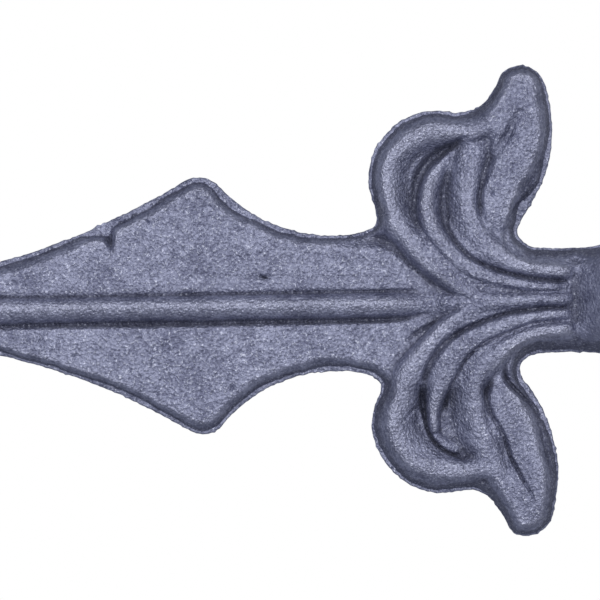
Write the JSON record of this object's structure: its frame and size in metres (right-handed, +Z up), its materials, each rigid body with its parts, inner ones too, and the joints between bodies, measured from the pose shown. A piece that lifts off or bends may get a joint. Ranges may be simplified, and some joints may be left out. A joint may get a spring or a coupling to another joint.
{
  "type": "baluster",
  "caption": "Square forged steel baluster with a ribbed leaf pair, spear blade and rounded collar at mid height, for setting between two rails.",
  "frame": {"origin": "centre of the bar's lower end face, where it meets the bottom rail", "axes": "+Z up along the bar, through the collar, the leaves and the spear blade; +X across the leaves, from leaf tip to leaf tip; +Y through the thickness of the steel, with the ornament alike on both faces"},
  "size_m": [0.0552, 0.0158, 0.9],
  "materials": {
    "forged_steel": "matte"
  },
  "bodies": {
    "root": {"baluster": "forged_steel"}
  },
  "joints": []
}
